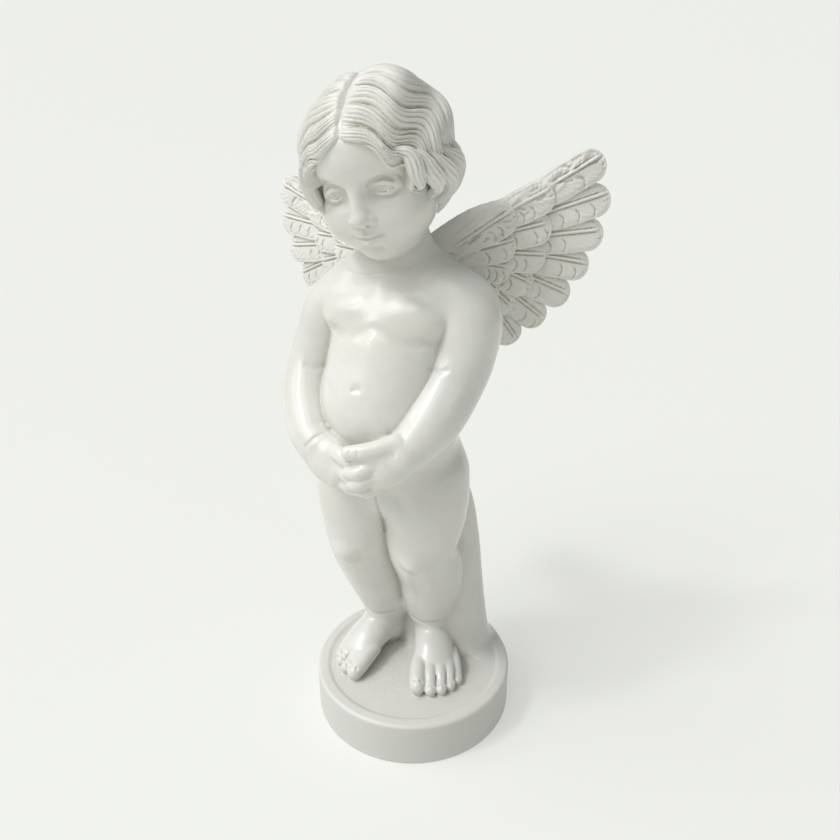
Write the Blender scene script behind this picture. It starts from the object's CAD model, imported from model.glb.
from math import cos, pi, radians, sin

import bpy
import numpy as np
from mathutils import Euler, Matrix, Vector


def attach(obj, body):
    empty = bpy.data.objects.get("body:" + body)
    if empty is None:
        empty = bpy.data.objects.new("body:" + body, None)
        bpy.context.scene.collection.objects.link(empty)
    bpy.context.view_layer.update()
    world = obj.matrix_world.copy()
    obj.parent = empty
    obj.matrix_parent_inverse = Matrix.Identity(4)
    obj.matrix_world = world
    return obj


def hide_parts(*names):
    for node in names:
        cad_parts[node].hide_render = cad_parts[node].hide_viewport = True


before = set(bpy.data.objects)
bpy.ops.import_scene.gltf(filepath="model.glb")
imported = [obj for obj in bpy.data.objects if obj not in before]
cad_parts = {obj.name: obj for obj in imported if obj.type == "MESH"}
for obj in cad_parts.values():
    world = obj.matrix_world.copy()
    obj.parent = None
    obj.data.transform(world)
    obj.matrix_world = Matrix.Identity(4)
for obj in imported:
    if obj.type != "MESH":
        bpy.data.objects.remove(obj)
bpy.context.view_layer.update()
print("frame loaded")

# the figure is drawn 73 parts tall from the top of its plinth, facing -Y, its own left at +X
part = 0.731 / 73
plinthFloor = 0.0565
finest = 0.11    # size of a grain of marble, in parts


def turned(angles):
    return Euler([radians(a) for a in angles]).to_matrix().to_4x4()


def placed(centre, angles=(0, 0, 0), size=1.0):
    return Matrix.Translation(centre) @ turned(angles) @ Matrix.Scale(size, 4)


def measuredIn(place, p, rows=(0, 1, 2)):
    # the points p in a placed form's own measure
    back = np.array(place.inverted(), np.float32)
    return [back[i, 0] * p[0] + back[i, 1] * p[1] + back[i, 2] * p[2] + back[i, 3] for i in rows]


def smoothPath(rows, steps):
    rows = np.array(rows, float)
    padded = np.vstack([2 * rows[0] - rows[1], rows, 2 * rows[-1] - rows[-2]])
    made = []
    for i in range(len(rows) - 1):
        a, b, c, d = padded[i:i + 4]
        for t in np.linspace(0, 1, steps, endpoint=False):
            made.append(0.5 * (2 * b + (c - a) * t + (2 * a - 5 * b + 4 * c - d) * t ** 2
                               + (3 * b - a - 3 * c + d) * t ** 3))
    made.append(rows[-1])
    return np.array(made)


def along(points, share):
    path = smoothPath(points, 12)
    gone = np.concatenate([[0], np.cumsum(np.linalg.norm(np.diff(path, axis=0), axis=1))])
    return np.array([np.interp(share * gone[-1], gone, column) for column in path.T])


def softMin(a, b, k):
    mix = np.clip(0.5 + 0.5 * (b - a) / k, 0, 1)
    return b + (a - b) * mix - k * mix * (1 - mix)


def blurred(field, width):
    # each value averaged with its neighbours, twice over
    made = field
    for axis in range(3):
        size = made.shape[axis]
        pad = [(0, 0)] * 3
        pad[axis] = (width + 1, width)
        top, low = [slice(None)] * 3, [slice(None)] * 3
        top[axis], low[axis] = slice(2 * width + 1, 2 * width + 1 + size), slice(0, size)
        for _ in range(2):
            total = np.cumsum(np.pad(made, pad, mode="edge"), axis=axis, dtype=np.float64)
            made = ((total[tuple(top)] - total[tuple(low)]) / (2 * width + 1)).astype(np.float32)
    return made


class Clay:
    # a block of distances to the skin, negative inside, that forms are added to and pressed into

    def __init__(self, low, high, cell):
        self.cell = cell
        self.low = np.array(low, float)
        size = np.ceil((np.array(high, float) - self.low) / cell).astype(int) + 1
        self.axes = [(self.low[i] + cell * np.arange(size[i])).astype(np.float32) for i in range(3)]
        self.field = np.full(size, 3.0, np.float32)

    def points(self, cut=(slice(None),) * 3):
        x, y, z = (self.axes[i][cut[i]] for i in range(3))
        return x[:, None, None], y[None, :, None], z[None, None, :]

    def room(self, low, high):
        # the part of the block between two corners, and its points
        first = [max(0, int((low[i] - self.low[i]) / self.cell)) for i in range(3)]
        last = [min(self.field.shape[i], int((high[i] - self.low[i]) / self.cell) + 2) for i in range(3)]
        cut = tuple(slice(a, max(a + 1, b)) for a, b in zip(first, last))
        return cut, self.points(cut)

    def blend(self, cut, near, k):
        self.field[cut] = softMin(self.field[cut], near, np.maximum(k, 1e-3))

    def ball(self, centre, radii, angles=(0, 0, 0), k=0.5, place=Matrix(), carve=False):
        here = place @ placed(centre, angles)
        size = here.to_scale()[0]
        middle = here.to_translation()
        reach = max(radii) * size + 2.2
        cut, p = self.room([c - reach for c in middle], [c + reach for c in middle])
        q = measuredIn(here, p)
        one = np.sqrt(sum((a / r) ** 2 for a, r in zip(q, radii))) + 1e-6
        two = np.sqrt(sum((a / r ** 2) ** 2 for a, r in zip(q, radii))) + 1e-6 / max(radii)
        near = one * (one - 1) / two * size
        if carve:
            self.field[cut] = -softMin(-self.field[cut], near, k)
        else:
            self.blend(cut, near, k)

    def lengths(self, stations, place, facing, steps):
        # the pieces of a limb: two ends, two pairs of radii and the side and front directions
        rows = [[*s[0], s[1], s[2] if len(s) > 2 else s[1]] for s in stations]
        path = smoothPath(rows, steps)
        size = place.to_scale()[0]
        turn = place.to_3x3().normalized()
        made = []
        for a, b in zip(path, path[1:]):
            start, end = place @ Vector(a[:3]), place @ Vector(b[:3])
            way = end - start
            out = turn @ (facing(Vector(a[:3])) if callable(facing) else Vector(facing))
            side = out.cross(way.normalized()).normalized()
            made.append((start, way, side, way.normalized().cross(side), a[3:] * size, b[3:] * size))
        return made

    def limbField(self, stations, place=Matrix(), facing=(0, -1, 0), steps=4, spread=2.2,
                  ridges=0, groove=0.1):
        # the distances to a limb by itself, and the part of the block that they fill
        pieces = self.lengths(stations, place, facing, steps)
        ends = np.array([p[0] for p in pieces] + [pieces[-1][0] + pieces[-1][1]])
        widest = max(max(p[4].max(), p[5].max()) for p in pieces)
        cut, _ = self.room(ends.min(0) - widest - spread, ends.max(0) + widest + spread)
        near = np.full(self.field[cut].shape, 9.0, np.float32)
        for start, way, side, out, ra, rb in pieces:
            reach = max(ra.max(), rb.max()) + spread
            both = np.array([start, start + way])
            inner, p = self.room(both.min(0) - reach, both.max(0) + reach)
            box = tuple(slice(max(0, i.start - c.start), max(0, i.stop - c.start))
                        for i, c in zip(inner, cut))
            length = way.length
            axis = way / length
            x, y, z = p[0] - start[0], p[1] - start[1], p[2] - start[2]
            u = x * side[0] + y * side[1] + z * side[2]
            v = x * out[0] + y * out[1] + z * out[2]
            w = x * axis[0] + y * axis[1] + z * axis[2]
            t = np.clip(w / length, 0, 1)
            w = w - t * length
            wide = ra[0] + (rb[0] - ra[0]) * t
            deep = ra[1] + (rb[1] - ra[1]) * t
            if ra[0] == ra[1] and rb[0] == rb[1]:
                d = np.sqrt(u * u + v * v + w * w) - wide
            else:
                slim = np.minimum(wide, deep)
                one = np.sqrt((u / wide) ** 2 + (v / deep) ** 2 + (w / slim) ** 2) + 1e-6
                two = np.sqrt((u / wide ** 2) ** 2 + (v / deep ** 2) ** 2 + (w / slim ** 2) ** 2) + 1e-6
                d = one * (one - 1) / two
            if ridges:
                d = d + groove * (0.5 + 0.5 * np.cos(ridges * pi * (np.clip(u / wide, -1, 1) + 1))) * (v > 0)
            near[box] = np.minimum(near[box], d)
        return cut, near

    def limb(self, stations, k=0.5, **more):
        cut, near = self.limbField(stations, **more)
        if callable(k):    # a blend that changes with the height
            k = k(self.points(cut)[2])
        self.blend(cut, near, k)

    def press(self, points, radius, depth, place=Matrix()):
        # a soft groove along the points, or a ridge where depth is below 0
        points = [place @ Vector(p) for p in points]
        if len(points) == 1:
            points = points * 2
        ends = np.array(points)
        cut, p = self.room(ends.min(0) - radius, ends.max(0) + radius)
        near = np.full(self.field[cut].shape, 9.0, np.float32)
        for a, b in zip(points, points[1:]):
            way = b - a
            span = max(way.length_squared, 1e-9)
            x, y, z = p[0] - a[0], p[1] - a[1], p[2] - a[2]
            t = np.clip((x * way[0] + y * way[1] + z * way[2]) / span, 0, 1)
            near = np.minimum(near, (x - t * way[0]) ** 2 + (y - t * way[1]) ** 2 + (z - t * way[2]) ** 2)
        self.field[cut] += depth * np.clip(1 - near / radius ** 2, 0, 1) ** 2

    def sample(self, points, field=None, step=1):
        field = self.field if field is None else field
        q = (np.asarray(points, float) - self.low) / (self.cell * step)
        base = np.clip(np.floor(q).astype(int), 0, np.array(field.shape) - 2)
        f = q - base
        total = 0
        for i in (0, 1):
            for j in (0, 1):
                for k in (0, 1):
                    share = abs(1 - i - f[:, 0]) * abs(1 - j - f[:, 1]) * abs(1 - k - f[:, 2])
                    total = total + share * field[base[:, 0] + i, base[:, 1] + j, base[:, 2] + k]
        return total

    def touch(self, start, way=(0, 1, 0), reach=14):
        # where a straight line first meets the skin
        way = Vector(way).normalized()
        steps = np.arange(0, reach, self.cell * 0.5)
        line = np.array(start)[None, :] + steps[:, None] * np.array(way)[None, :]
        inside = np.nonzero(self.sample(line) < 0)[0]
        return Vector(line[inside[0]]) if len(inside) else Vector(start)

    def crease(self, marks, radius, depth, way=(0, 1, 0), steps=5):
        path = smoothPath(marks, steps)
        self.press([self.touch(p, way) for p in path], radius, depth)

    def skin(self):
        inside = self.field < 0
        corners = np.zeros(np.array(inside.shape) - 1, np.uint8)
        for i in (0, 1):
            for j in (0, 1):
                for k in (0, 1):
                    corners += inside[i:i + corners.shape[0], j:j + corners.shape[1], k:k + corners.shape[2]]
        cells = np.argwhere((corners > 0) & (corners < 8))
        number = np.full(corners.shape, -1, np.int32)
        number[tuple(cells.T)] = np.arange(len(cells))
        total = np.zeros((len(cells), 3))
        hits = np.zeros(len(cells))
        for axis in range(3):
            step = np.eye(3, dtype=int)[axis]
            others = [i for i in range(3) if i != axis]
            for m in (0, 1):
                for n in (0, 1):
                    a = cells.copy()
                    a[:, others[0]] += m
                    a[:, others[1]] += n
                    fa = self.field[tuple(a.T)].astype(float)
                    fb = self.field[tuple((a + step).T)].astype(float)
                    cross = (fa < 0) != (fb < 0)
                    t = fa[cross] / (fa[cross] - fb[cross])
                    total[cross] += a[cross] + t[:, None] * step
                    hits[cross] += 1
        points = self.low + self.cell * total / hits[:, None]
        quads = []
        for axis in range(3):
            others = [i for i in range(3) if i != axis]
            lower = [slice(1, -1)] * 3
            lower[axis] = slice(0, -1)
            upper = [slice(1, -1)] * 3
            upper[axis] = slice(1, None)
            change = inside[tuple(lower)] != inside[tuple(upper)]
            edge = np.argwhere(change)
            for i in others:
                edge[:, i] += 1
            rising = inside[tuple(edge.T)]
            m, n = (np.eye(3, dtype=int)[i] for i in others)
            ring = [edge - m - n, edge - n, edge, edge - m]
            quad = np.stack([number[tuple(r.T)] for r in ring], 1)
            flip = rising if axis != 1 else ~rising
            quad[~flip] = quad[~flip][:, ::-1]
            quads.append(quad)
        return self.settle(points), np.concatenate(quads)

    def settle(self, points):
        # moves the points onto the skin itself
        nudge = self.cell * 0.5
        for _ in range(2):
            slope = np.stack([self.sample(points + nudge * e) - self.sample(points - nudge * e)
                              for e in np.eye(3)], 1) / (2 * nudge)
            away = self.sample(points) / np.maximum((slope ** 2).sum(1), 0.2)
            points = points - np.clip(away[:, None] * slope, -nudge, nudge)
        return points

    def ease(self, low, high, radius):
        # rubs out small kinks in a part of the block, less so near the part's sides
        cut, p = self.room(low, high)
        fade = 1
        for a, least, most in zip(p, low, high):
            fade = fade * np.clip(np.minimum(a - least, most - a) / 1.2, 0, 1).astype(np.float32)
        now = self.field[cut]
        self.field[cut] = now + (blurred(now, max(1, round(radius / self.cell))) - now) * fade

    def hollow(self, points, reach):
        # how far each point lies below the skin's average height around it
        wide = blurred(self.field[::2, ::2, ::2], max(1, round(reach / self.cell / 2)))
        return (self.sample(points) - self.sample(points, wide, 2)) / reach


def flesh(name, points, quads, faces):
    # a smooth mesh of the clay's skin, brought down to a number of triangles
    mesh = bpy.data.meshes.new(name)
    mesh.vertices.add(len(points))
    mesh.vertices.foreach_set("co", np.asarray(points, np.float32).ravel())
    mesh.loops.add(len(quads) * 4)
    mesh.loops.foreach_set("vertex_index", np.asarray(quads, np.int32).ravel())
    mesh.polygons.add(len(quads))
    mesh.polygons.foreach_set("loop_start", np.arange(0, len(quads) * 4, 4, dtype=np.int32))
    mesh.update(calc_edges=True)
    piece = bpy.data.objects.new(name, mesh)
    bpy.context.collection.objects.link(piece)
    if len(quads) * 2 > faces:
        thin = piece.modifiers.new("thin", "DECIMATE")
        thin.ratio = faces / (len(quads) * 2)
        made = bpy.data.meshes.new_from_object(piece.evaluated_get(bpy.context.evaluated_depsgraph_get()))
        piece.modifiers.clear()
        piece.data = made
        bpy.data.meshes.remove(mesh)
        made.name = name
    return piece


def finishPiece(piece, clay, place, hollowReach=(0.45, 1.3)):
    # notes how hollow each point is, turns parts into metres and shades the piece smooth
    mesh = piece.data
    points = np.empty(len(mesh.vertices) * 3, np.float32)
    mesh.vertices.foreach_get("co", points)
    points = points.reshape(-1, 3)
    for name, reach in zip(("fineHollow", "wideHollow"), hollowReach):
        layer = mesh.attributes.new(name, "FLOAT", "POINT")
        layer.data.foreach_set("value", clay.hollow(points, reach).astype(np.float32))
    mesh.transform(place)
    mesh.shade_smooth()
    mesh.update()
    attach(piece, "root")
    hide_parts("cherub_statue")
    print(piece.name, len(mesh.polygons), "faces")
    return piece


wholeFigure = Matrix.Translation((0, 0, plinthFloor)) @ Matrix.Scale(part, 4)

# body and plinth
body = {
    "faces": 196000,
    "plinthRadius": 0.13 / part,
    "plinthDepth": plinthFloor / part,
    "rimWidth": 1.5,
    "rimRise": 0.25,
    "shoulderBlend": 1.6,
    # each toe: how far out, how far forward, how thick
    "leftToes": ((-2.2, -10.2, 1.08), (-0.55, -10.6, 0.82), (0.85, -10.4, 0.78), (2.05, -9.7, 0.72),
                 (3.05, -8.6, 0.66)),
    "rightToes": ((-2.2, -10.1, 1.08), (-0.55, -9.9, 0.82), (0.85, -9.2, 0.78), (1.95, -8.2, 0.72),
                  (2.75, -7.0, 0.66)),
}


def carveTorso(clay):
    clay.limb([((-2.6, -0.1, 27.5), 7.0, 5.4), ((-2.6, -0.5, 31.0), 8.0, 6.1), ((-2.2, -1.5, 36.0), 8.2, 6.8),
               ((-2.0, -1.7, 41.0), 7.7, 6.7), ((-1.8, -0.7, 46.0), 7.2, 5.7), ((-1.8, 0.3, 50.0), 6.5, 4.7),
               ((-1.9, 0.3, 53.0), 4.2, 3.6)], k=0.5, steps=5)
    clay.ball((-2.4, -3.1, 38.0), (6.9, 6.6, 6.6), k=1.6)
    for side in (1, -1):
        clay.ball((-1.9 + side * 3.7, -2.7, 48.4), (4.2, 3.0, 2.7), (24, side * 8, side * 8), k=0.7)
        clay.ball((-2.6 + side * 3.5, 2.0, 29.8), (4.5, 4.3, 6.1), (12, 0, 0), k=1.6)
        clay.ball((-1.8 + side * 3.6, 2.8, 46.5), (3.4, 2.4, 5.0), k=1.8)
        clay.limb([((-1.9 + side * 0.8, 0.6, 54.4), 2.9), ((-1.9 + side * 5.2, 0.6, 51.0), 3.0)], k=1.8)
    clay.limb([((-1.9, 0.7, 50.5), 4.3), ((-2.0, 0.7, 54.0), 3.6), ((-2.1, 0.2, 58.0), 3.6)], k=1.8, steps=6)
    clay.ease((-14, -12, 15), (11, 9, 64), 0.6)


def carveArms(clay):
    def shoulderOnly(z):
        return np.clip((z - 47.8) * 0.6, 0.2, body["shoulderBlend"])
    clay.limb([((3.4, 0.5, 50.3), 3.5), ((6.4, 0.1, 48.7), 3.9), ((6.6, -0.9, 44.4), 3.55),
               ((5.7, -2.7, 40.8), 3.45), ((4.6, -5.4, 37.8), 3.25), ((3.3, -7.8, 35.6), 2.6),
               ((2.5, -8.9, 34.9), 2.3)], k=shoulderOnly, steps=10)
    clay.limb([((-7.0, 0.5, 49.8), 3.4), ((-9.8, 0.1, 47.8), 3.7), ((-11.2, -0.9, 44.4), 3.3),
               ((-11.9, -2.5, 40.7), 3.2), ((-11.3, -4.9, 37.5), 3.0), ((-9.4, -7.5, 35.1), 2.6),
               ((-8.1, -8.6, 34.2), 2.3)], k=shoulderOnly, steps=10)


def carveHands(clay):
    # the right hand lies under, the left hand is folded over it
    clay.limb([((-8.1, -8.6, 34.2), 2.3, 2.0), ((-6.3, -9.5, 33.2), 2.7, 1.9),
               ((-4.4, -10.1, 32.4), 2.5, 1.6)], facing=(-0.3, -1, 0.35), k=0.5)
    for start, bend, tip, width in (
        ((-4.9, -10.3, 34.5), (-3.4, -11.1, 34.3), (-2.1, -11.3, 33.6), 0.95),
        ((-4.2, -10.7, 33.0), (-2.7, -11.4, 32.3), (-1.5, -11.2, 31.6), 0.9),
        ((-4.4, -10.3, 31.7), (-3.1, -10.9, 30.9), (-1.9, -10.5, 30.5), 0.88),
        ((-4.8, -9.4, 31.0), (-3.6, -9.9, 30.1), (-2.4, -9.6, 29.9), 0.78),
    ):
        clay.limb([(start, width), (bend, width), (tip, width * 0.85)], k=0.3)
    clay.limb([((2.5, -8.9, 34.9), 2.3, 2.1), ((1.1, -9.9, 33.9), 2.6, 1.9), ((-0.3, -10.6, 33.0), 2.2, 1.5)],
              facing=(0.25, -1, 0.3), k=0.5)
    for start, bend, tip, width in (
        ((0.2, -11.1, 34.0), (-1.3, -12.1, 33.3), (-2.6, -11.9, 33.0), 0.86),
        ((0.2, -11.1, 32.9), (-1.3, -12.0, 32.0), (-2.5, -11.6, 31.6), 0.88),
        ((0.1, -10.6, 31.8), (-1.2, -11.2, 30.9), (-2.3, -10.7, 30.5), 0.84),
        ((0.1, -9.7, 31.0), (-1.1, -10.2, 30.2), (-2.0, -9.7, 29.9), 0.76),
    ):
        clay.limb([(start, width), (bend, width * 0.97), (tip, width * 0.8)], k=0.14)
    clay.limb([((2.0, -9.7, 36.1), 1.25), ((0.5, -10.9, 35.8), 1.05), ((-1.0, -11.6, 35.6), 0.92),
               ((-2.5, -12.0, 35.4), 0.8)], k=0.3)    # left thumb on top
    clay.limb([((1.0, -10.6, 35.0), 1.0), ((-0.4, -11.2, 34.7), 0.85), ((-1.7, -11.5, 34.3), 0.7)], k=0.3)
    nail = [(-2.55 + 0.5 * cos(a), -12.55, 35.75 + 0.42 * sin(a))
            for a in np.linspace(-0.4 * pi, 0.9 * pi, 10)]
    clay.press(nail, 0.17, 0.12)
    clay.press([(-1.25, -12.4, 35.9), (-1.1, -12.5, 35.5)], 0.3, 0.08)


def carveLeg(clay, hip, knee, ankle, outward):
    hip, knee, ankle = Vector(hip), Vector(knee), Vector(ankle)
    calf = knee.lerp(ankle, 0.42) + Vector((outward * 0.4, 0.9, 0))
    full = 0.35 if outward < 0 else 0.1
    thigh = hip.lerp(knee, 0.3) + Vector((outward * full, 0, 0))
    aboveKnee = hip.lerp(knee, 0.62) + Vector((outward * 0.2, 0, 0))
    shin = knee.lerp(ankle, 0.8) + Vector((0, 0.2, 0))
    cut, near = clay.limbField([(hip, 5.7), (thigh, 5.65), (aboveKnee, 5.1), (knee, 4.5), (calf, 4.5),
                                (shin, 3.75), (ankle, 3.3)], steps=5)
    return cut, blurred(near, max(1, round(0.45 / clay.cell)))


def carveFoot(clay, ankle, toeOut, side, toes):
    ground = placed((ankle[0], ankle[1], 0), (0, 0, side * toeOut))
    clay.limb([((0, 0, 5.6), 2.9), ((0, -0.1, 3.0), 2.7), ((0, 0.3, 1.5), 2.5)], place=ground, k=0.5, steps=8)
    clay.limb([((0, 0.9, 1.8), 2.5, 1.9), ((0, -3.0, 2.6), 2.6, 2.3), ((0.1 * side, -6.3, 1.6), 2.8, 1.6),
               ((0.1 * side, -7.2, 1.2), 2.8, 1.2)], place=ground, facing=(0, 0, 1), k=1.0, steps=8)
    clay.ease((ankle[0] - 5.5, ankle[1] - 9.5, 0.6), (ankle[0] + 5.5, ankle[1] + 4.0, 8.5), 0.4)
    for x, reach, radius in toes:
        clay.limb([((side * x * 0.86, reach + 4.4, 1.75), radius * 0.95),
                   ((side * x * 0.95, reach + 2.5, 1.6), radius * 1.04),
                   ((side * x, reach + 1.1, radius * 1.15), radius * 1.02),
                   ((side * x, reach + 0.1, radius * 0.88), radius * 0.93)],
                  place=ground, facing=(0, 0, 1), k=0.22, steps=6)
        tip = Vector((side * x, reach - radius * 0.2, radius * 1.72))
        nail = [tip + Vector((radius * 0.62 * cos(a), radius * (0.5 * sin(a) - 0.1), -0.06))
                for a in np.linspace(-0.25 * pi, 1.25 * pi, 11)]
        clay.press(nail, 0.24, 0.2, ground)
    for (x1, reach1, r1), (x2, reach2, r2) in zip(toes, toes[1:]):
        gap = (x1 + r1 + x2 - r2) / 2
        back = (reach1 + reach2) / 2
        clay.press([(side * gap * 0.86, back + 4.3, 2.2), (side * gap * 0.95, back + 2.2, 1.8),
                    (side * gap, back + 0.4, 1.1)], 0.25, 0.2, ground)


def carveLegs(clay):
    left = carveLeg(clay, (1.4, 0.1, 28.5), (1.3, 0.1, 18.2), (1.2, 3.6, 6.2), 1)
    right = carveLeg(clay, (-6.5, -0.1, 28.5), (-6.9, -0.4, 18.0), (-5.3, 3.2, 6.2), -1)
    legs = np.full(clay.field.shape, 9.0, np.float32)
    for cut, near in (left, right):
        legs[cut] = softMin(legs[cut], near, 0.16)
    clay.field = softMin(clay.field, legs, 0.9)
    del legs
    for knee, side in (((1.3, 0.1, 18.2), 1), ((-6.9, -0.4, 18.0), -1)):
        knee = Vector(knee)
        clay.ball(knee + Vector((side * 0.3, -3.5, 0.0)), (1.75, 1.7, 1.75), k=0.8)
    carveFoot(clay, (1.3, 4.0, 4.4), 22, 1, body["leftToes"])
    carveFoot(clay, (-5.2, 3.5, 4.4), 15, -1, body["rightToes"])


def carveStump(clay):
    clay.limb([((2.3, 6.2, -1.0), 7.3, 5.2), ((2.2, 6.2, 2.5), 6.4, 4.6), ((1.8, 6.0, 9.0), 6.0, 4.2),
               ((1.4, 5.6, 17.0), 5.7, 3.8), ((0.8, 5.2, 23.0), 5.2, 3.4), ((-0.2, 4.2, 28.0), 3.8, 2.8)],
              k=0.45, steps=10)


def carvePlinth(clay):
    top = np.searchsorted(clay.axes[2], 4.0)
    x, y, z = clay.points((slice(None), slice(None), slice(top)))
    r = np.sqrt(x * x + y * y)

    def ring(inner, outer, low, high, curve):
        across = np.maximum(r - outer + curve, inner + curve - r)
        up = np.maximum(z - high + curve, low + curve - z)
        return (np.sqrt(np.maximum(across, 0) ** 2 + np.maximum(up, 0) ** 2)
                + np.minimum(np.maximum(across, up), 0) - curve)

    rim = body["plinthRadius"]
    disc = ring(-40, rim - 0.2, -body["plinthDepth"], 0.0, 0.12)
    lip = ring(rim - body["rimWidth"], rim, -body["plinthDepth"], body["rimRise"], 0.38)
    stone = softMin(disc, lip, 0.45)
    fillet = np.where(y > 2.5, 1.5, 0.4)    # wide behind, where the stump grows out of the plinth
    clay.field[:, :, :top] = softMin(clay.field[:, :, :top], stone, fillet)
    clay.field[:, :, :top] = np.maximum(clay.field[:, :, :top], -body["plinthDepth"] - z)


def carveCreases(clay):
    navel = clay.touch((-2.9, -13, 41.4))
    clay.press([navel + Vector((-0.1, 0, 0.1)), navel + Vector((0.2, 0, 0.1))], 0.7, 0.22)
    clay.press([navel + Vector((0.42 * cos(a), 0, 0.36 * sin(a))) for a in np.linspace(0.1, 1.1 * pi, 6)],
               0.2, 0.3)
    clay.crease([(-7.4, -13, 46.9), (-5.6, -13, 46.5), (-3.6, -13, 46.9), (-1.9, -13, 47.5),
                 (-0.4, -13, 47.1), (1.6, -13, 46.2), (3.8, -13, 46.1)], 1.0, 0.13)
    clay.crease([(-1.9, 14, 51), (-2.0, 14, 44), (-2.4, 14, 37)], 1.8, 0.3, (0, -1, 0))
    clay.crease([(-2.5, 14, 34.6), (-2.6, 14, 32), (-2.6, 14, 29), (-2.6, 14, 26)], 1.0, 0.3, (0, -1, 0))
    clay.crease([(-2.5, 14, 33.6), (-2.6, 14, 31), (-2.6, 14, 28)], 2.0, 0.3, (0, -1, 0))
    # between the thighs
    clay.crease([(-2.6, -13, 31.5), (-2.55, -13, 28), (-2.55, -13, 24), (-2.6, -13, 21)], 0.3, 0.3)
    # wrists, elbows and ankles
    clay.crease([(0.9, -13, 36.9), (1.7, -13, 36.4), (2.4, -13, 35.5)], 0.4, 0.2)
    clay.crease([(-6.6, -13, 36.0), (-7.5, -13, 35.6), (-8.3, -13, 34.8)], 0.4, 0.2)
    clay.crease([(4.2, -13, 43.4), (5.1, -13, 43.2), (6.0, -13, 43.5)], 0.55, 0.1)
    clay.crease([(-9.3, -13, 42.0), (-10.2, -13, 41.8), (-11.0, -13, 42.2)], 0.55, 0.09)
    clay.crease([(-1.9, -13, 6.5), (-0.4, -13, 6.0), (1.4, -13, 5.9), (3.4, -13, 6.3)], 0.42, 0.3)
    clay.crease([(-8.2, -13, 7.0), (-6.4, -13, 6.1), (-4.4, -13, 5.9), (-2.7, -13, 6.3)], 0.42, 0.3)


head = placed((-2.5, -1.9, 63.6), (20, -9, -2), 0.95)
neckCut = -9.8    # height in the head's own measure where the head and the body meet


def aboveNeck(clay):
    return measuredIn(head, clay.points(), (2,))[0] - neckCut


def carveFigure():
    clay = Clay((-17.2, -14.8, -body["plinthDepth"] - 0.6), (14.4, 14.0, 59.5), finest)
    for step in (carveTorso, carveLegs, carveArms, carveStump, carvePlinth, carveCreases, carveHands):
        step(clay)
        print(step.__name__)
    # the neck ends inside the head
    rise = aboveNeck(clay)
    clay.field = np.maximum(clay.field + np.clip(rise * 0.25, 0, 1), rise - 2.5)
    piece = flesh("marbleFigure", *clay.skin(), body["faces"])
    return finishPiece(piece, clay, wholeFigure)


figurePiece = carveFigure()

# head
face = {
    "faces": 150000,
    "grain": 0.065,
    "eyeGap": 2.72,         # from the middle of the face to the middle of an eye
    "eyeRadius": 1.5,
    "eyeWide": 1.36,
    "lidLift": 0.66,
    "lidDrop": 0.42,
    "noseTip": -2.3,
    "mouth": -4.45,
}


def carveEye(clay, side):
    centre = Vector((side * face["eyeGap"], -5.2, 0.0))
    radius = face["eyeRadius"]

    def onEye(x, z, lift=0.0):
        deep = max((radius + lift) ** 2 - x * x - z * z, 0.3) ** 0.5
        return centre + Vector((side * x, -deep, z))

    def lid(height, lift, share=1.0, shift=0.0):
        return [onEye(face["eyeWide"] * share * cos(a), height * sin(a) + shift - 0.12 * cos(a), lift)
                for a in np.linspace(pi, 0, 17)]

    clay.press([centre + Vector((side * x, -1.5, 0.1)) for x in (-0.6, 0.7)], 2.0, 0.62, head)
    clay.ball(centre, (radius, radius, radius * 0.96), place=head, k=0.3)
    upper, lower = lid(face["lidLift"], 0.1), lid(-face["lidDrop"], 0.04)
    clay.limb([(p, 0.22) for p in upper], place=head, k=0.1, steps=2)
    clay.limb([(p, 0.17) for p in lower], place=head, k=0.12, steps=2)
    clay.limb([(p, 0.34) for p in lid(1.0, -0.12, 1.12, 0.12)], place=head, k=0.4, steps=2)
    iris = [onEye(0.08 + 0.4 * cos(a), 0.02 + 0.4 * sin(a)) for a in np.linspace(0, 2 * pi, 17)]
    clay.press(iris, 0.15, 0.13, head)
    clay.press([onEye(0.08, 0.07)], 0.26, 0.3, head)
    brow = [(side * (1.1 + 3.7 * t), -7.05 + 2.1 * t ** 2, 1.6 + 0.85 * sin(pi * (0.12 + 0.62 * t)))
            for t in np.linspace(0, 1, 9)]
    clay.press(brow, 0.8, -0.25, head)


def carveEar(clay, side):
    ear = placed((side * 6.15, 0.5, -1.9), (10, 0, side * 22))
    clay.ball((0, 0, 0), (0.75, 1.5, 2.3), place=head @ ear, k=0.3)
    rim = [(side * 0.55, 1.35 * sin(a) - 0.05, 0.35 + 1.75 * cos(a))
           for a in np.linspace(-0.35 * pi, 0.85 * pi, 14)]
    clay.limb([(p, 0.3) for p in rim], place=head @ ear, k=0.15, steps=2)
    clay.press([(side * 0.75, -0.15, 0.7), (side * 0.8, 0.1, -0.5)], 0.8, 0.55, head @ ear)
    clay.ball((side * 0.25, -0.3, -2.1), (0.5, 0.8, 0.75), place=head @ ear, k=0.3)


def markFace(clay, marks, radius, depth):
    # a groove laid on the face through points given as across and up
    way = head.to_3x3() @ Vector((0, 1, 0))
    marks = smoothPath(marks, 5) if len(marks) > 1 else marks
    clay.press([clay.touch(head @ Vector((x, -11, z)), way) for x, z in marks], radius, depth)


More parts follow.
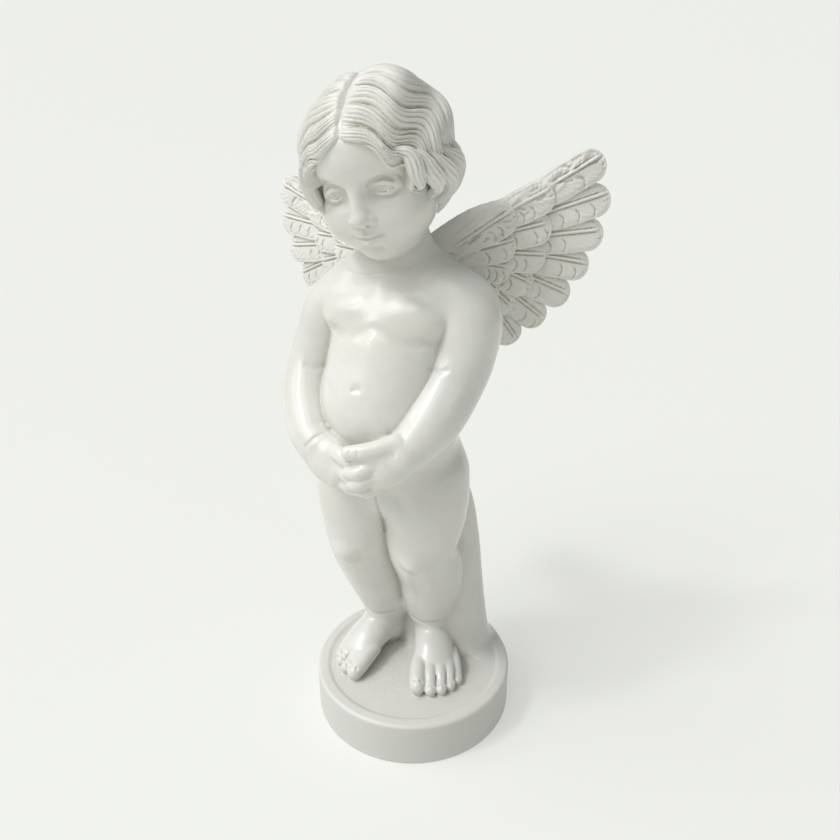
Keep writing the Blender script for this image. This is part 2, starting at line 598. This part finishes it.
def carveFace(clay):
    neck = clay.field
    clay.field = np.full(neck.shape, 3.0, np.float32)
    clay.ball((0, 0.6, 1.6), (6.9, 7.9, 7.5), place=head, k=0.8)
    clay.ball((0, -1.4, -2.4), (5.95, 6.4, 6.0), place=head, k=1.2)
    clay.ball((0, -3.3, 3.2), (5.3, 4.5, 3.8), place=head, k=1.5)
    clay.ball((0, -5.0, -6.3), (2.4, 2.3, 1.8), place=head, k=1.5)
    clay.ball((0, -5.5, -4.2), (2.8, 2.35, 2.1), place=head, k=1.3)
    clay.ball((0, -2.6, -7.2), (3.2, 2.6, 1.3), place=head, k=1.2)
    for side in (1, -1):
        clay.ball((side * 3.15, -3.6, -3.2), (3.0, 3.35, 2.9), place=head, k=1.6)
        carveEye(clay, side)
    tip = face["noseTip"]
    clay.limb([((0, -6.5, 1.3), 0.7, 0.8), ((0, -7.05, 0.1), 0.62, 0.8), ((0, -7.6, -1.2), 0.72, 0.8),
               ((0, -7.95, tip + 0.15), 0.9, 0.85)], place=head, k=0.7)
    clay.ball((0, -8.05, tip), (0.92, 0.85, 0.78), place=head, k=0.4)
    for side in (1, -1):
        clay.ball((side * 0.98, -7.45, tip - 0.25), (0.62, 0.78, 0.56), place=head, k=0.28)
        clay.press([(side * 1.62, -7.2, tip + 0.1), (side * 1.55, -7.0, tip - 0.6)], 0.42, 0.14, head)
        clay.press([(side * 0.5, -8.1, tip - 0.75), (side * 0.58, -7.7, tip - 0.75)], 0.32, 0.15, head)
    low = face["mouth"]
    markFace(clay, [(0, tip - 0.95), (0, low + 0.6)], 0.36, 0.13)
    # lips
    clay.limb([((-1.85, -6.9, low + 0.05), 0.16), ((-0.8, -7.6, low + 0.32), 0.4),
               ((0, -7.75, low + 0.2), 0.38), ((0.8, -7.6, low + 0.32), 0.4),
               ((1.85, -6.9, low + 0.05), 0.16)], place=head, k=0.15)
    clay.limb([((-1.4, -7.0, low - 0.3), 0.22), ((0, -7.65, low - 0.55), 0.54),
               ((1.4, -7.0, low - 0.3), 0.22)], place=head, k=0.18)
    markFace(clay, [(-1.6, low + 0.06), (-0.8, low), (0, low - 0.08), (0.8, low), (1.6, low + 0.06)],
             0.24, 0.3)
    markFace(clay, [(-0.9, low - 1.45), (0.9, low - 1.45)], 0.8, 0.24)
    for side in (1, -1):
        markFace(clay, [(side * 1.9, low + 0.08)], 0.5, 0.14)
        markFace(clay, [(side * (1.4 + 2.6 * t), 0.35 + 0.85 * sin(pi * (0.12 + 0.8 * t)))
                        for t in np.linspace(0, 1, 7)], 0.24, 0.22)    # fold over the upper lid
        carveEar(clay, side)
    clay.field = softMin(clay.field, neck, 0.3)


def carveHead():
    middle = head.to_translation()
    low = [middle[0] - 8.5, middle[1] - 9.8, middle[2] - 12.0]
    high = [middle[0] + 9, middle[1] + 9.5, middle[2] + 9.2]
    clay = Clay(low, high, face["grain"])
    carveTorso(clay)
    carveFace(clay)
    clay.field = np.maximum(clay.field, -aboveNeck(clay))
    piece = flesh("marbleHead", *clay.skin(), face["faces"])
    return finishPiece(piece, clay, wholeFigure, (0.35, 1.1))


headPiece = carveHead()

# hair
hair = {
    "faces": 165000,        # on each side of the parting
    "grain": 0.075,
    "locks": 7,
    "strands": 5,           # in a lock
    "bulge": 0.48,
    "strandDepth": 0.16,
    "waves": 2.3,           # from the parting to the tips
    "sway": 0.05,
    "crest": 0.3,
    "partingDepth": 0.45,
    "browCover": 0.15,
    "tipWidth": 0.2,        # of a free lock's full width
}
scalpCentre = Vector((0, 0.7, 1.5))
scalp = (7.3, 8.3, 7.9)


def toward(azimuth, height):
    # azimuth runs from the brow round to the back
    a, e = radians(azimuth), radians(height)
    return Vector((sin(a) * cos(e), -cos(a) * cos(e), sin(e)))


def overScalp(way, lift):
    return scalpCentre + Vector(w * (r + lift) for w, r in zip(way, scalp))


def outOfScalp(point):
    return (Vector(point) - scalpCentre).normalized()


def combMap(size=640, samples=1500):
    # for every direction on one side of the head: which strand passes there and how far down it
    s = np.linspace(-0.34, 1.0, samples)[:, None]
    t = np.linspace(-0.1, 1.14, samples)[None, :]
    rise = np.radians(40 + 100 * s)
    start = [0 * s, -np.cos(rise), np.sin(rise)]
    turn = np.radians(66 + 114 * s)
    drop = np.radians(-27 - 32 * np.maximum(s, 0) ** 0.8)
    end = [np.sin(turn) * np.cos(drop), -np.cos(turn) * np.cos(drop), np.sin(drop)]
    long = np.sqrt(sum((a + b) ** 2 for a, b in zip(start, end)))
    aside = np.clip(1 - s, 0, 1.34) ** 0.8
    push = [0.78 * aside, -0.12 + 0.3 * s, 0.14 + 0 * s]
    mid = [(a + b) / long * 1.1 + c for a, b, c in zip(start, end, push)]
    way = [a * (1 - t) ** 2 + m * 2 * t * (1 - t) + b * t ** 2 for a, m, b in zip(start, mid, end)]
    norm = np.sqrt(sum(w * w for w in way))
    x, y, z = (w / norm for w in way)
    spread = np.sqrt(2 / (1 + np.maximum(x, -0.5))) * size / 3.2
    spot = np.clip((y * spread + size / 2).astype(int), 0, size - 1) * size
    spot = (spot + np.clip((z * spread + size / 2).astype(int), 0, size - 1)).ravel()
    count = np.bincount(spot, minlength=size * size)
    found = count > 0
    maps = []
    for value, outside in ((s + 0 * t, -0.3), (t + 0 * s, 1.4)):
        total = np.bincount(spot, weights=value.ravel(), minlength=size * size)
        made = np.where(found, total / np.maximum(count, 1), outside).reshape(size, size)
        for axis in (0, 1) * 3:
            made = (np.roll(made, 1, axis) + made * 2 + np.roll(made, -1, axis)) / 4
        maps.append(made.astype(np.float32))
    return maps


def readMap(table, y, z, x):
    size = table.shape[0]
    spread = np.sqrt(2 / (1 + np.maximum(x, -0.5))) * size / 3.2
    a = np.clip(y * spread + size / 2 - 0.5, 0, size - 2)
    b = np.clip(z * spread + size / 2 - 0.5, 0, size - 2)
    i, j = a.astype(int), b.astype(int)
    a, b = a - i, b - j
    return ((table[i, j] * (1 - a) + table[i + 1, j] * a) * (1 - b)
            + (table[i, j + 1] * (1 - a) + table[i + 1, j + 1] * a) * b)


def eased(value, low, high):
    share = np.clip((value - low) / (high - low), 0, 1)
    return share * share * (3 - 2 * share)


def layHair(clay, side, strandMap, downMap):
    # the combed cap of hair on one side of the parting, as a skin above the scalp
    q = [a - middle for a, middle in zip(measuredIn(head, clay.points()), scalpCentre)]
    far = np.sqrt(sum(a * a for a in q)) + 1e-6
    span = np.sqrt(sum((a / r) ** 2 for a, r in zip(q, scalp))) + 1e-6
    shell = far / span
    seam = -side * q[0] - 0.03
    near = np.maximum(far - shell, seam)
    spots = np.nonzero((np.abs(far - shell - 0.6) < 3.2) & (seam < 0.3))
    way = [(a[spots] / r) / span[spots] for a, r in zip(q, scalp)]
    way[0] = np.maximum(side * way[0], 0)
    over = (far - shell)[spots]
    seam = seam[spots]
    del q, far, span, shell
    s = readMap(strandMap, way[1], way[2], way[0])
    t = readMap(downMap, way[1], way[2], way[0])
    shift = 0.5 if side > 0 else 0.12
    beat = 2 * pi * (hair["waves"] * t + shift + 0.5 * s)
    swayed = s + hair["sway"] * eased(t, -0.05, 0.3) * np.sin(beat)
    row = hair["locks"] * (swayed + 0.022 * np.sin(2 * pi * 2.6 * swayed + 2 * shift))
    number = np.floor(row).astype(int)
    across = row - number
    lifts = np.array([0.1, 0.3, 0.0, 0.26, 0.06, 0.32, 0.12, 0.28, 0.02, 0.2, 0.1, 0.3])
    lift = lifts[number % 12] + (lifts[(number + 1) % 12] - lifts[number % 12]) * eased(across, 0.86, 1.0)
    low = np.maximum(0, -way[2])
    front = eased(-way[1], 0.3, 0.85)
    nape = (1.5 if side > 0 else 0.6) * low * (1 - 0.5 * t)
    height = 0.05 + 0.4 * front + 0.8 * t * (1 - t) + nape + 0.4 * np.clip(-8 * s, 0, 1) * front
    height += hair["bulge"] * (1 - np.abs(2 * across - 1) ** 2.4) * (0.3 + 0.7 * eased(t, 0, 0.12))
    height += lift * eased(t, 0, 0.3)
    fine = hair["strands"] * across + 0.35 * np.sin(2 * pi * (1.4 * t + number * 0.37))
    height -= hair["strandDepth"] * (1 - np.abs(np.sin(pi * fine))) * eased(t, -0.02, 0.1) * 1.6
    height -= 0.05 * (1 - np.abs(np.sin(pi * (fine * 2 + 0.3)))) * eased(t, 0.02, 0.2)
    height += hair["crest"] * eased(t, 0.04, 0.35) * np.sin(beat + 1.2)
    height -= hair["partingDepth"] * np.exp(-(t / 0.014) ** 2) * eased(s, -0.25, 0.0)
    ends = 0.95 + 0.05 * np.sin(number * 2.3 + shift) - 0.1 * np.abs(2 * across - 1) ** 1.6
    brow = hair["browCover"] * (0.8 + 0.45 * eased(t, 0.0, 0.4))
    edge = np.maximum(-(swayed + brow) * 14, (t - ends) * 12)
    radial = (over - height) * 0.9
    curl = 0.55
    a, b = radial + curl, edge + curl
    shaped = np.sqrt(np.maximum(a, 0) ** 2 + np.maximum(b, 0) ** 2) + np.minimum(np.maximum(a, b), 0) - curl
    near[spots] = np.maximum(shaped, seam)
    clay.field = softMin(clay.field, near, 0.05)


def combLock(clay, side, points, width, depth, wave, beat, phase):
    # one lock over the cap, through points given as azimuth, height and lift
    path = smoothPath(points, 8)
    stations = []
    for t in np.linspace(0, 1, 15):
        azimuth, height, lift = (np.interp(t * (len(path) - 1), np.arange(len(path)), c) for c in path.T)
        point = overScalp(toward(azimuth + wave * sin(2 * pi * (beat * t + phase)), height), lift)
        point.x *= side
        full = min(1, 0.25 + 2.2 * t) * (1 - (1 - hair["tipWidth"]) * max(0, (t - 0.5) / 0.5) ** 1.5)
        stations.append((point, width * full, depth * (0.4 + 0.6 * full)))
    clay.limb(stations, k=0.1, place=head, facing=outOfScalp, steps=3, spread=0.5,
              ridges=4, groove=hair["strandDepth"] * 1.2)


# locks that hang free at the temples, over the ears and at the nape
leftLocks = (
    (((34, 15, 0.5), (44, 7, 1.2), (51, -2, 1.5), (50, -11, 1.3), (43, -16, 1.0)), 0.95, 0.85),
    (((46, 8, 0.4), (57, -1, 1.2), (63, -11, 1.5), (61, -21, 1.3), (53, -27, 1.0)), 1.05, 0.85),
    (((62, 3, 0.4), (73, -8, 1.2), (78, -20, 1.4), (75, -30, 1.3), (66, -36, 1.0)), 1.1, 0.85),
    (((80, 0, 0.4), (91, -12, 1.1), (96, -24, 1.3), (93, -34, 1.2), (84, -40, 0.9)), 1.15, 0.8),
    (((106, -5, 0.3), (116, -21, 1.0), (120, -37, 1.1), (116, -51, 1.1), (104, -61, 1.2)), 1.2, 0.8),
    (((126, -8, 0.3), (135, -26, 0.9), (137, -43, 1.0), (131, -57, 1.0), (121, -65, 0.9)), 1.2, 0.8),
    (((146, -10, 0.3), (153, -28, 0.9), (155, -45, 1.0), (149, -60, 0.8)), 1.2, 0.8),
    (((164, -12, 0.3), (169, -32, 0.9), (171, -50, 1.0), (168, -63, 0.7)), 1.2, 0.8),
)
rightLocks = (
    (((30, 14, 0.4), (42, 5, 1.0), (49, -6, 1.1), (50, -17, 1.0), (45, -26, 0.8)), 1.05, 0.85),
    (((46, 6, 0.3), (57, -4, 0.8), (63, -14, 0.9), (61, -25, 0.8), (53, -32, 0.7)), 1.0, 0.8),
    (((62, 3, 0.2), (73, -9, 0.6), (79, -21, 0.7), (76, -32, 0.7), (67, -39, 0.6)), 1.1, 0.8),
    (((82, 0, 0.2), (92, -13, 0.6), (97, -27, 0.7), (94, -38, 0.7), (85, -45, 0.6)), 1.15, 0.8),
    (((102, -4, 0.2), (112, -18, 0.7), (116, -33, 0.8), (112, -46, 0.7), (102, -54, 0.6)), 1.2, 0.8),
    (((124, -8, 0.3), (133, -26, 0.9), (135, -43, 1.0), (128, -58, 0.9)), 1.2, 0.8),
    (((144, -10, 0.3), (152, -28, 0.9), (154, -45, 1.0), (148, -60, 0.8)), 1.2, 0.8),
    (((164, -12, 0.3), (170, -32, 0.9), (173, -50, 1.0), (177, -62, 0.7)), 1.2, 0.8),
)


def carveHair(name, side, locks, strandMap, downMap):
    middle = head.to_translation()
    low = [middle[0] - 3.2, middle[1] - 10, middle[2] - 10]
    high = [middle[0] + 11, middle[1] + 10.8, middle[2] + 10.6]
    if side < 0:
        low[0], high[0] = middle[0] - 10.5, middle[0] + 3.2
    clay = Clay(low, high, hair["grain"])
    layHair(clay, side, strandMap, downMap)
    for k, (points, width, depth) in enumerate(locks):
        combLock(clay, side, points, width, depth, 3.5, 1.3, 0.2 * k)
    print(name, "combed")
    piece = flesh(name, *clay.skin(), hair["faces"])
    return finishPiece(piece, clay, wholeFigure, (0.25, 0.8))


combed = combMap()
leftHair = carveHair("leftHair", 1, leftLocks, *combed)
rightHair = carveHair("rightHair", -1, rightLocks, *combed)

# wings
wings = {
    "faces": 150000,
    "thickness": 1.1,
    "sweepBack": 20,
    "rightDroop": 12,
    "shaft": 0.19,
    "barbGap": 0.55,
    "barbDepth": 0.03,
    "nick": 0.2,
    "tufts": 44,            # along the leading edge
    "rows": (
        dict(count=8, width=3.7, rise=0.0, roots=((4.0, 7.6), (3.0, 4.0), (0.0, -0.5)),
             tips=((15.0, 14.1), (16.0, 7.6), (12.0, -1.8), (3.0, -9.4))),
        dict(count=6, width=3.7, rise=0.5, roots=((1.5, 6.5), (1.0, 3.0), (-0.5, 0.5)),
             tips=((9.6, 10.6), (9.4, 4.0), (6.8, -1.6), (2.6, -5.0))),
        dict(count=5, width=3.6, rise=1.0, roots=((-1.0, 4.5), (-1.0, 2.0), (-1.5, 1.0)),
             tips=((5.4, 8.4), (5.6, 3.6), (4.2, -0.6), (1.2, -3.0))),
    ),
}


def layFeather(clay, foot, tip, width, height, seed):
    # a rounded tongue with a shaft down its middle, fine barbs and a few nicks in the lower vane
    foot, tip = np.array(foot, float), np.array(tip, float)
    length = np.linalg.norm(tip - foot)
    way = (tip - foot) / length
    ends = np.array([foot, tip])
    pad = width * 0.7
    cut, p = clay.room((ends[:, 0].min() - pad, -3, ends[:, 1].min() - pad),
                       (ends[:, 0].max() + pad, 3, ends[:, 1].max() + pad))
    x, z = p[0] - foot[0], p[2] - foot[1]
    s = x * way[0] + z * way[1]
    t = x * -way[1] + z * way[0]
    bend = 0.05 * seed % 0.3 - 0.12
    t = t - bend * np.sin(pi * np.clip(s / length, 0, 1))
    share = np.clip(s / length, 0, 1)
    half = width / 2 * (0.6 + 0.4 * np.clip(share * 1.8, 0, 1))
    curl = half * 0.97
    flat = np.sqrt(np.maximum(abs(t) - half + curl, 0) ** 2 + np.maximum(s - length + curl, 0) ** 2) - curl
    flat = np.maximum(flat, -s)
    edge = np.clip(-flat / 0.4, 0, 1)
    crown = height - 0.16 * (1 - edge) ** 2 - 0.2 * t / half - 0.14 * share
    shaft = wings["shaft"] * np.clip((length - s) / 1.2, 0.0, 1)
    rib = t - 0.25 * half
    crown = crown + shaft * (np.exp(-(rib / 0.12) ** 2) - np.exp(-((abs(rib) - 0.23) / 0.08) ** 2))
    crown = crown - 0.1 * np.exp(-((-flat - 0.3) / 0.12) ** 2)
    barbs = np.sin(2 * pi * (s * 0.75 - abs(t) * 0.8 + 0.16 * np.sin(2.3 * s + seed)) / wings["barbGap"])
    crown = crown + wings["barbDepth"] * barbs * np.clip((abs(t) - 0.35) * 4, 0, 1) * edge
    nick = 0
    for n in range(2 + seed % 2):
        at = length * (0.46 + 0.2 * n + 0.03 * ((seed * 7 + n * 3) % 5 - 2))
        arc = (t + half * 0.5) / (half * 0.5)
        line = np.exp(-((s - at - 0.6 * (1 - arc ** 2)) / 0.1) ** 2)
        nick = nick + line * np.clip(2.5 - 2.5 * abs(arc), 0, 1)
    for n in range(4):
        slit = half * (-0.66 + 0.42 * n + 0.1 * sin(seed * 1.7 + n * 2.1)) + 0.12 * (s - length)
        deep = np.clip((s - length + 0.75 + 0.3 * sin(seed + n)) / 0.3, 0, 1)
        nick = nick + 0.7 * np.exp(-((t - slit) / 0.07) ** 2) * deep
    crown = crown - wings["nick"] * nick * np.clip(edge * 1.6, 0, 1)
    near = np.maximum(flat, np.abs(p[1]) - crown)
    clay.blend(cut, near.astype(np.float32), 0.05)


def carveWing(name, side, root, droop):
    clay = Clay((-8.5, -4.6, -12.5), (19.5, 3.4, 17.5), finest * 0.8)
    seed = 0
    for row in wings["rows"]:
        for k in reversed(range(row["count"])):
            share = k / (row["count"] - 1)
            seed += 1
            layFeather(clay, along(row["roots"], share), along(row["tips"], share), row["width"],
                       wings["thickness"] / 2 + row["rise"] + 0.4 * (1 - share), seed)
    clay.limb([((-4.5, -2.2, 1.0), 3.4, 2.2), ((-1.5, -0.4, 3.6), 3.4, 1.75), ((1.6, 0, 6.5), 2.5, 1.45),
               ((5.5, 0, 8.9), 1.3, 1.25), ((9.3, 0, 11.3), 0.8, 1.0)], k=0.4)
    clay.limb([((-4.5, -1.6, 0.0), 3.0, 2.0), ((-1.0, 0, -1.0), 3.0, 1.2), ((0.5, 0, -3.5), 2.0, 0.9)], k=0.5)
    for k in range(wings["tufts"]):
        x = -3.0 + 0.42 * k
        z = 4.3 + 0.74 * x + 1.2 * sin(k * 2.4)
        for front in (-1, 1):
            start = clay.touch((x, 4.0 * front, z), (0, -front, 0), 6)
            tuft = start + Vector((0.7, 0, 0.35 + 0.5 * sin(k * 1.7)))
            clay.press([start, tuft], 0.3, 0.17 * (-1) ** (k % 3))
    points, quads = clay.skin()
    if side < 0:
        quads = quads[:, ::-1]
    piece = flesh(name, points, quads, wings["faces"])
    place = (wholeFigure @ placed(root, (0, 0, side * wings["sweepBack"]))
             @ Matrix.Diagonal((side, 1, 1, 1)) @ turned((0, droop, 0)))
    return finishPiece(piece, clay, place, (0.25, 0.8))


leftWing = carveWing("leftWing", 1, (4.0, 6.7, 50.4), 0)
rightWing = carveWing("rightWing", -1, (-6.8, 6.7, 50.0), wings["rightDroop"])


# marble
class Wire:
    # one socket of a material, so that sums of sockets are written as plain sums

    def __init__(self, stone, socket):
        self.stone = stone
        self.socket = socket

    def sum(self, operation, *others, clamp=False):
        return self.stone.node("ShaderNodeMath", dict(operation=operation, use_clamp=clamp), self, *others)

    def __add__(self, other):
        return self.sum("ADD", other)

    def __mul__(self, other):
        return self.sum("MULTIPLY", other)

    def __sub__(self, other):
        return self.sum("SUBTRACT", other)

    def __rsub__(self, other):
        return self.stone.node("ShaderNodeMath", dict(operation="SUBTRACT"), other, self)

    def __truediv__(self, other):
        return self.sum("DIVIDE", other)

    __radd__ = __add__
    __rmul__ = __mul__

    def kept(self):
        return self.sum("ADD", 0.0, clamp=True)

    def between(self, low, high):
        # 0 at low, 1 at high, held at both ends
        return ((self - low) / (high - low)).kept()


class Stone:
    def __init__(self, name):
        self.material = bpy.data.materials.new(name)
        self.material.use_nodes = True
        self.tree = self.material.node_tree
        self.shader = self.tree.nodes["Principled BSDF"]

    def node(self, kind, settings, *values, out=0, **named):
        made = self.tree.nodes.new(kind)
        for key, value in settings.items():
            setattr(made, key, value)
        for socket, value in list(zip(made.inputs, values)) + [(made.inputs[k], v) for k, v in named.items()]:
            self.join(socket, value)
        return Wire(self, made.outputs[out])

    def join(self, socket, value):
        if isinstance(value, Wire):
            self.tree.links.new(value.socket, socket)
        elif value is not None:
            socket.default_value = value

    def noise(self, scale, detail=4, rough=0.55, place=None):
        place = place or self.place()
        return self.node("ShaderNodeTexNoise", {}, Vector=place, Scale=scale, Detail=detail, Roughness=rough)

    def place(self):
        # where a point lies on the statue, in metres
        return self.node("ShaderNodeTexCoord", {}, out=3)

    def mark(self, name):
        return self.node("ShaderNodeAttribute", dict(attribute_name=name), out=2)

    def tint(self, share, low, high):
        made = self.tree.nodes.new("ShaderNodeMix")
        made.data_type = "RGBA"
        for socket, value in zip((made.inputs["Factor"], made.inputs[6], made.inputs[7]), (share, low, high)):
            self.join(socket, value)
        return Wire(self, made.outputs[2])

    def bump(self, height, strength, depth, under=None):
        return self.node("ShaderNodeBump", {}, Height=height, Strength=strength, Distance=depth, Normal=under)


marble = {
    "white": (0.80, 0.79, 0.755, 1),
    "shadowed": (0.70, 0.695, 0.66, 1),
    "warm": (0.76, 0.72, 0.62, 1),
    "vein": (0.56, 0.57, 0.56, 1),
    "grime": (0.47, 0.42, 0.33, 1),
    "plinthSide": (0.60, 0.59, 0.57, 1),
    "worn": (0.60, 0.595, 0.57, 1),
    "wornShare": 0.4,
    "polish": 0.13,
    "rough": 0.55,
    "softness": 0.25,       # share of the light that passes under the surface
    "softReach": 0.004,
}


def makeMarble(name, polished, pitted=1.0):
    stone = Stone(name)
    place = stone.place()
    height = stone.node("ShaderNodeSeparateXYZ", {}, place, out=2)
    fine = stone.mark("fineHollow")
    wide = stone.mark("wideHollow")
    cloud = stone.noise(6, 5, 0.6, place)
    warmth = stone.noise(9, 4, 0.6, place).between(0.52, 0.74)
    vein = 1 - ((stone.noise(4.2, 7, 0.62, place) - 0.5).sum("ABSOLUTE") * 26).kept()
    speck = stone.noise(160, 3, 0.6, place)
    colour = stone.tint(cloud.between(0.35, 0.7), marble["white"], marble["shadowed"])
    colour = stone.tint(warmth * (0.5 if polished else 0.3), colour, marble["warm"])
    colour = stone.tint(vein * 0.12, colour, marble["vein"])
    dirt = (fine.between(0.05, 0.4) * 0.75 + wide.between(0.08, 0.5) * 0.3) * speck.between(0.2, 0.62)
    dirt = dirt * (0.45 if polished else 1.0)
    colour = stone.tint(dirt.kept(), colour, marble["grime"])
    base = 1 - height.between(plinthFloor + 0.001, plinthFloor + 0.006)
    below = 1 - height.between(plinthFloor - 0.004, plinthFloor + 0.001)
    colour = stone.tint(below * 0.75, colour, marble["plinthSide"])
    worn = 1 - height.between(0.06, 0.42)
    colour = stone.tint(worn * marble["wornShare"], colour, marble["worn"])    # greyer towards the ground
    stone.join(stone.shader.inputs["Base Color"], colour)
    if polished:
        rub = stone.noise(24, 3, 0.5, place)
        rough = marble["polish"] + rub * 0.12 + dirt * 0.35
        rough = (rough + base * 0.3).kept()
        grain = stone.bump(stone.noise(900, 2, 0.6, place) * (0.3 + base * 0.7), 0.25, 0.0004)
        ripple = stone.bump(stone.noise(55, 2, 0.5, place), 0.12, 0.002, grain)
    else:
        rough = (marble["rough"] * (0.72 + 0.28 * pitted) - cloud * 0.1 + dirt * 0.3).kept()
        pits = stone.node("ShaderNodeTexVoronoi", dict(feature="F1"), Vector=place, Scale=620.0)
        grain = stone.bump(stone.noise(420, 4, 0.65, place) + pits * 0.5, 0.5 * pitted, 0.0009)
        ripple = stone.bump(stone.noise(110, 3, 0.5, place), 0.3 * pitted, 0.0012, grain)
    stone.join(stone.shader.inputs["Roughness"], rough)
    stone.join(stone.shader.inputs["Normal"], ripple)
    stone.join(stone.shader.inputs["Subsurface Weight"], marble["softness"])
    stone.join(stone.shader.inputs["Subsurface Radius"], (1.0, 0.9, 0.75))
    stone.join(stone.shader.inputs["Subsurface Scale"], marble["softReach"])
    stone.join(stone.shader.inputs["IOR"], 1.5)
    return stone.material


polishedMarble = makeMarble("polishedMarble", True)
rubbedMarble = makeMarble("rubbedMarble", False, 0.2)
carvedMarble = makeMarble("carvedMarble", False)
for piece in (figurePiece, headPiece):
    piece.data.materials.append(polishedMarble)
for piece in (leftHair, rightHair):
    piece.data.materials.append(rubbedMarble)
for piece in (leftWing, rightWing):
    piece.data.materials.append(carvedMarble)
print("marble made")

# floor, light and camera
studio = {
    "floor": (0.40, 0.405, 0.387, 1),
    "floorGlow": 1.13,
    "surround": (0.95, 0.965, 0.93, 1),
    "surroundStrength": 0.3,
    "panels": {
        "keyLight": dict(power=9.0, place=(-1.3, -2.0, 2.6), target=(0, 0, 0.45), size=(0.2, 1.5)),
        "fillLight": dict(power=2.0, place=(2.4, -1.5, 1.6), target=(0, 0, 0.4), size=(0.3, 1.4)),
    },
    "suns": {
        "softSun": dict(power=1.8, spread=60),
        "shadowSun": dict(power=0.7, spread=8),
    },
    "sunWay": (0.54, 0.48, -1.0),
    "camera": (0.293, -0.724, 0.717),
    "aim": (68.42, 0, 21.36),
    "lens": 30.0,
}

# one sheet that lies under the statue and rises behind it in a wide curve
sweepLine = [(-6.0, 0.0), (3.0, 0.0)]
sweepLine += [(3.0 + 9.0 * sin(a), 9.0 - 9.0 * cos(a)) for a in np.linspace(0.05, 0.45, 9)]
sweepLine.append((16.0, 5.5))
floorMesh = bpy.data.meshes.new("floor")
floorMesh.from_pydata([(x, y, z) for y, z in sweepLine for x in (-8, 8)], [],
                      [(2 * i, 2 * i + 1, 2 * i + 3, 2 * i + 2) for i in range(len(sweepLine) - 1)])
floorMesh.shade_smooth()
floor = bpy.data.objects.new("floor", floorMesh)
floor.rotation_euler.z = radians(20)
bpy.context.collection.objects.link(floor)
paper = Stone("paperFloor")
for socket, value in (("Base Color", studio["floor"]), ("Roughness", 0.9),
                      ("Emission Color", studio["floor"]), ("Emission Strength", studio["floorGlow"])):
    paper.join(paper.shader.inputs[socket], value)
floorMesh.materials.append(paper.material)


def hang(lamp, way, place=(0, 0, 0)):
    made = bpy.data.objects.new(lamp.name, lamp)
    made.location = place
    made.rotation_euler = Vector(way).to_track_quat("-Z", "Y").to_euler()
    bpy.context.collection.objects.link(made)


def hangPanel(name, power, place, target, size):
    lamp = bpy.data.lights.new(name, "AREA")
    lamp.shape = "RECTANGLE"
    lamp.size, lamp.size_y = size
    lamp.energy = power
    hang(lamp, Vector(target) - Vector(place), place)


def hangSun(name, power, spread):
    lamp = bpy.data.lights.new(name, "SUN")
    lamp.energy = power
    lamp.angle = radians(spread)
    hang(lamp, studio["sunWay"])


for name, values in studio["panels"].items():
    hangPanel(name, **values)
for name, values in studio["suns"].items():
    hangSun(name, **values)

world = bpy.data.worlds.new("studio")
bpy.context.scene.world = world
world.use_nodes = True
backdrop = world.node_tree.nodes["Background"]
backdrop.inputs[0].default_value = studio["surround"]
backdrop.inputs[1].default_value = studio["surroundStrength"]

camera = bpy.data.objects.new("camera", bpy.data.cameras.new("camera"))
camera.location = studio["camera"]
camera.rotation_euler = [radians(a) for a in studio["aim"]]
camera.data.lens = studio["lens"]
camera.data.sensor_width = 36
bpy.context.collection.objects.link(camera)
bpy.context.scene.camera = camera
bpy.context.scene.view_settings.view_transform = "Standard"
print("studio set")
